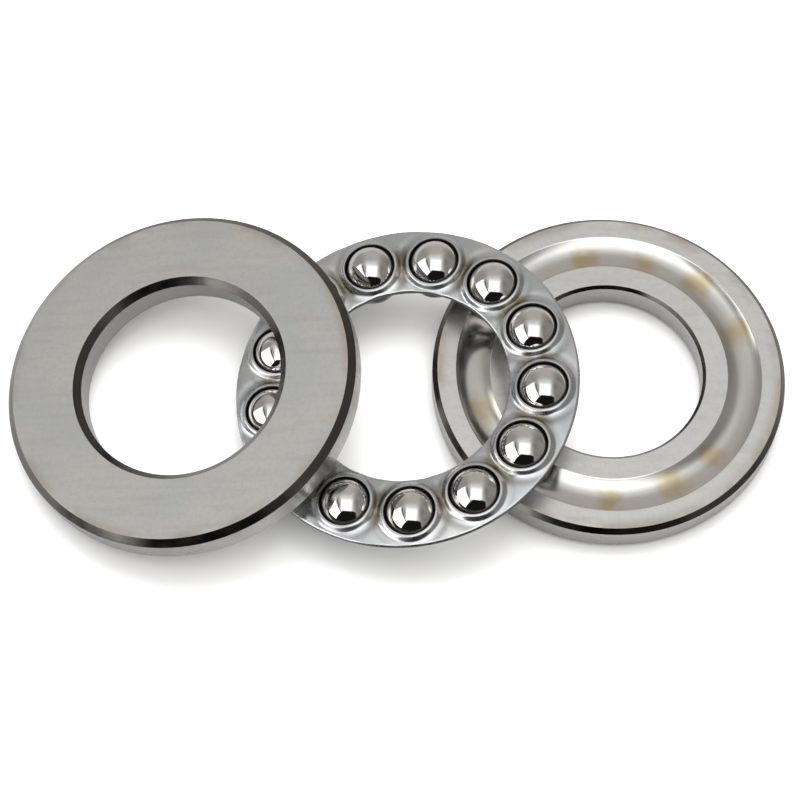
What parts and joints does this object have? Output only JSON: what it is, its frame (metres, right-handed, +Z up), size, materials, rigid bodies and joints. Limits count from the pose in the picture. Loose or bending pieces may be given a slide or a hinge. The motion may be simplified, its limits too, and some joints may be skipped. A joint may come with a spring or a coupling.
{
  "type": "thrust ball bearing",
  "caption": "Single direction thrust ball bearing, laid out in its separate rings: shaft washer, ball and cage assembly, and housing washer.",
  "frame": {"origin": "on the surface that the pieces lie on, at the middle of their outline seen from above", "axes": "+Z up, out of that surface; +X from the housing washer, across the cage, to the shaft washer; the shaft washer's axis is parallel to Z"},
  "size_m": [0.1028, 0.053, 0.0147],
  "materials": {
    "ground_steel": "ground bearing steel, satin, with a polished raceway groove",
    "pressed_steel": "pressed sheet steel, smooth and semi-bright",
    "ball_steel": "lapped bearing steel, mirror polished"
  },
  "bodies": {
    "shaft_washer": {"shaft_washer": "ground_steel"},
    "housing_washer": {"housing_washer": "ground_steel"},
    "cage": {"cage": "pressed_steel"},
    "ball_01": {"ball_01": "ball_steel"},
    "ball_02": {"ball_02": "ball_steel"},
    "ball_03": {"ball_03": "ball_steel"},
    "ball_04": {"ball_04": "ball_steel"},
    "ball_05": {"ball_05": "ball_steel"},
    "ball_06": {"ball_06": "ball_steel"},
    "ball_07": {"ball_07": "ball_steel"},
    "ball_08": {"ball_08": "ball_steel"},
    "ball_09": {"ball_09": "ball_steel"},
    "ball_10": {"ball_10": "ball_steel"},
    "ball_11": {"ball_11": "ball_steel"},
    "ball_12": {"ball_12": "ball_steel"},
    "ball_13": {"ball_13": "ball_steel"}
  },
  "joints": [
    {"name": "housing_washer_spin", "type": "hinge", "parent": "shaft_washer", "child": "housing_washer", "pos_m": [-0.02868, -0.00304, 0.00964], "axis": [-0.2163, -0.0519, 0.975], "continuous": true},
    {"name": "cage_spin", "type": "hinge", "parent": "shaft_washer", "child": "cage", "pos_m": [0.0012, -0.00199, 0.00672], "axis": [-0.1687, -0.0282, 0.9853], "continuous": true},
    {"name": "ball_01_spin", "type": "hinge", "parent": "cage", "child": "ball_01", "pos_m": [0.0043, 0.01581, 0.00776], "axis": [-0.1712, -0.9836, -0.0575], "continuous": true},
    {"name": "ball_02_spin", "type": "hinge", "parent": "cage", "child": "ball_02", "pos_m": [0.01211, 0.01227, 0.009], "axis": [-0.6027, -0.788, -0.1258], "continuous": true},
    {"name": "ball_03_spin", "type": "hinge", "parent": "cage", "child": "ball_03", "pos_m": [0.01742, 0.00547, 0.00971], "axis": [-0.8961, -0.412, -0.1653], "continuous": true},
    {"name": "ball_04_spin", "type": "hinge", "parent": "cage", "child": "ball_04", "pos_m": [0.01902, -0.00305, 0.00974], "axis": [-0.9842, 0.0585, -0.1669], "continuous": true},
    {"name": "ball_05_spin", "type": "hinge", "parent": "cage", "child": "ball_05", "pos_m": [0.01653, -0.01132, 0.00908], "axis": [-0.8469, 0.5155, -0.1303], "continuous": true},
    {"name": "ball_06_spin", "type": "hinge", "parent": "cage", "child": "ball_06", "pos_m": [0.01054, -0.01746, 0.00787], "axis": [-0.5156, 0.8545, -0.0638], "continuous": true},
    {"name": "ball_07_spin", "type": "hinge", "parent": "cage", "child": "ball_07", "pos_m": [0.0024, -0.02005, 0.00641], "axis": [-0.0661, 0.9977, 0.0173], "continuous": true},
    {"name": "ball_08_spin", "type": "hinge", "parent": "cage", "child": "ball_08", "pos_m": [-0.00601, -0.0185, 0.00501], "axis": [0.3985, 0.9123, 0.0944], "continuous": true},
    {"name": "ball_09_spin", "type": "hinge", "parent": "cage", "child": "ball_09", "pos_m": [-0.01276, -0.01317, 0.00401], "axis": [0.7718, 0.6179, 0.1499], "continuous": true},
    {"name": "ball_10_spin", "type": "hinge", "parent": "cage", "child": "ball_10", "pos_m": [-0.01632, -0.00528, 0.00362], "axis": [0.9683, 0.182, 0.171], "continuous": true},
    {"name": "ball_11_spin", "type": "hinge", "parent": "cage", "child": "ball_11", "pos_m": [-0.01586, 0.00336, 0.00395], "axis": [0.943, -0.2956, 0.153], "continuous": true},
    {"name": "ball_12_spin", "type": "hinge", "parent": "cage", "child": "ball_12", "pos_m": [-0.01149, 0.01078, 0.00491], "axis": [0.7016, -0.7055, 0.0999], "continuous": true},
    {"name": "ball_13_spin", "type": "hinge", "parent": "cage", "child": "ball_13", "pos_m": [-0.00422, 0.01527, 0.00628], "axis": [0.2995, -0.9538, 0.024], "continuous": true}
  ],
  "couplings": [
    {"joint": "cage_spin", "follows": "housing_washer_spin", "ratio": 0.5},
    {"joint": "ball_01_spin", "follows": "housing_washer_spin", "ratio": 2.5336},
    {"joint": "ball_02_spin", "follows": "housing_washer_spin", "ratio": 2.5336},
    {"joint": "ball_03_spin", "follows": "housing_washer_spin", "ratio": 2.5336},
    {"joint": "ball_04_spin", "follows": "housing_washer_spin", "ratio": 2.5336},
    {"joint": "ball_05_spin", "follows": "housing_washer_spin", "ratio": 2.5336},
    {"joint": "ball_06_spin", "follows": "housing_washer_spin", "ratio": 2.5336},
    {"joint": "ball_07_spin", "follows": "housing_washer_spin", "ratio": 2.5336},
    {"joint": "ball_08_spin", "follows": "housing_washer_spin", "ratio": 2.5336},
    {"joint": "ball_09_spin", "follows": "housing_washer_spin", "ratio": 2.5336},
    {"joint": "ball_10_spin", "follows": "housing_washer_spin", "ratio": 2.5336},
    {"joint": "ball_11_spin", "follows": "housing_washer_spin", "ratio": 2.5336},
    {"joint": "ball_12_spin", "follows": "housing_washer_spin", "ratio": 2.5336},
    {"joint": "ball_13_spin", "follows": "housing_washer_spin", "ratio": 2.5336}
  ]
}
